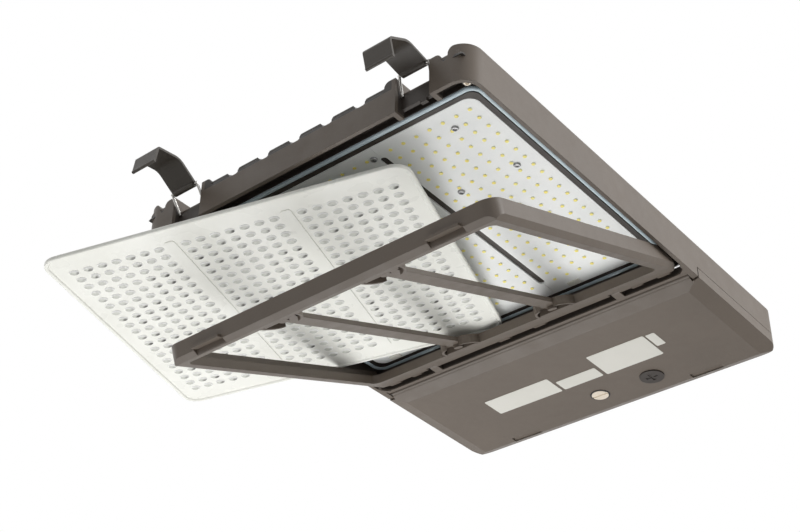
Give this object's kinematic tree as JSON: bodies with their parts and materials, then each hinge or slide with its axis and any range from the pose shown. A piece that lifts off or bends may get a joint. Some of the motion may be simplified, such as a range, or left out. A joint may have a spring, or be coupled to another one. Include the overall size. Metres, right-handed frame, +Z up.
{
  "type": "shoebox area light",
  "caption": "Rectangular LED area light opened for servicing: hinged lens frame, loose lens panel, draw latches and driver door.",
  "frame": {"origin": "centre of the two-bolt arm mount on the rear face, level with the top of the side walls", "axes": "+Y out of the arm face towards the pole, +Z up, +X to the right seen from the front wall"},
  "size_m": [0.5649, 0.6385, 0.2071],
  "materials": {
    "housing_coat": "dark bronze powder coat, fine texture",
    "frame_coat": "dark bronze powder coat, fine texture",
    "door_coat": "dark bronze powder coat, fine texture",
    "lever_coat": "dark bronze coat on steel plate",
    "plug": "dark bronze coat",
    "gasket": "soft blue-grey silicone",
    "board": "white solder mask over an aluminium core",
    "connector": "moulded",
    "steel": "bright zinc",
    "wire": "polished stainless wire",
    "screw": "passivated, slotted head",
    "lens": "clear moulded lenslets on a frosted sheet",
    "driver": "plain",
    "protector": "potted case",
    "terminal": "moulded"
  },
  "bodies": {
    "housing": {"housing": "housing_coat", "gasket": "gasket", "led_board_left": "board", "led_board_middle": "board", "led_board_right": "board", "board_connectors": "connector", "hinge_rod": "steel", "led_driver": "driver", "driver_bracket": "steel", "surge_protector": "protector", "terminal_block": "terminal", "arm_backing_plate": "steel"},
    "lens_frame": {"lens_frame": "frame_coat", "cross_bar_left": "frame_coat", "cross_bar_right": "frame_coat"},
    "lens_panel": {"lens_panel": "lens"},
    "bail_left": {"latch_bail_left": "wire"},
    "bail_right": {"latch_bail_right": "wire"},
    "lever_left": {"latch_lever_left": "lever_coat"},
    "lever_right": {"latch_lever_right": "lever_coat"},
    "driver_door": {"driver_door": "door_coat", "door_hinge_pins": "steel", "closing_plug": "plug"},
    "captive_screw": {"captive_screw": "screw"}
  },
  "joints": [
    {"name": "frame_hinge", "type": "hinge", "parent": "housing", "child": "lens_frame", "pos_m": [0, -0.1987, -0.0358], "axis": [1, 0, 0], "range_deg": [-20.9, 0]},
    {"name": "lens_withdraw", "type": "slide", "parent": "housing", "child": "lens_panel", "axis": [-0.7413, -0.6675, -0.0698], "range_m": [0, 0.501]},
    {"name": "lever_left_turn", "type": "hinge", "parent": "bail_left", "child": "lever_left", "pos_m": [-0.141, -0.56887, -0.00355], "axis": [-1, 0, 0], "range_deg": [-132, 0]},
    {"name": "bail_left_turn", "type": "hinge", "parent": "housing", "child": "bail_left", "pos_m": [-0.141, -0.5567, -0.0203], "axis": [1, 0, 0], "range_deg": [-34.1, 0]},
    {"name": "lever_right_turn", "type": "hinge", "parent": "bail_right", "child": "lever_right", "pos_m": [0.141, -0.56136, -0.00013], "axis": [-1, 0, 0], "range_deg": [-85.5, 0]},
    {"name": "bail_right_turn", "type": "hinge", "parent": "housing", "child": "bail_right", "pos_m": [0.141, -0.5567, -0.0203], "axis": [1, 0, 0], "range_deg": [-11.1, 0]},
    {"name": "door_hinge", "type": "hinge", "parent": "housing", "child": "driver_door", "pos_m": [0, -0.18, -0.0385], "axis": [-1, 0, 0], "range_deg": [0, 90]},
    {"name": "screw_turn", "type": "hinge", "parent": "driver_door", "child": "captive_screw", "pos_m": [0, -0.045, -0.04], "axis": [0, 0, 1], "continuous": true}
  ],
  "couplings": [
    {"joint": "lens_withdraw", "follows": "frame_hinge", "m_per_rad": -1.3707},
    {"joint": "bail_left_turn", "follows": "lever_left_turn", "ratio": 0.25758},
    {"joint": "bail_right_turn", "follows": "lever_right_turn", "ratio": 0.12865}
  ]
}
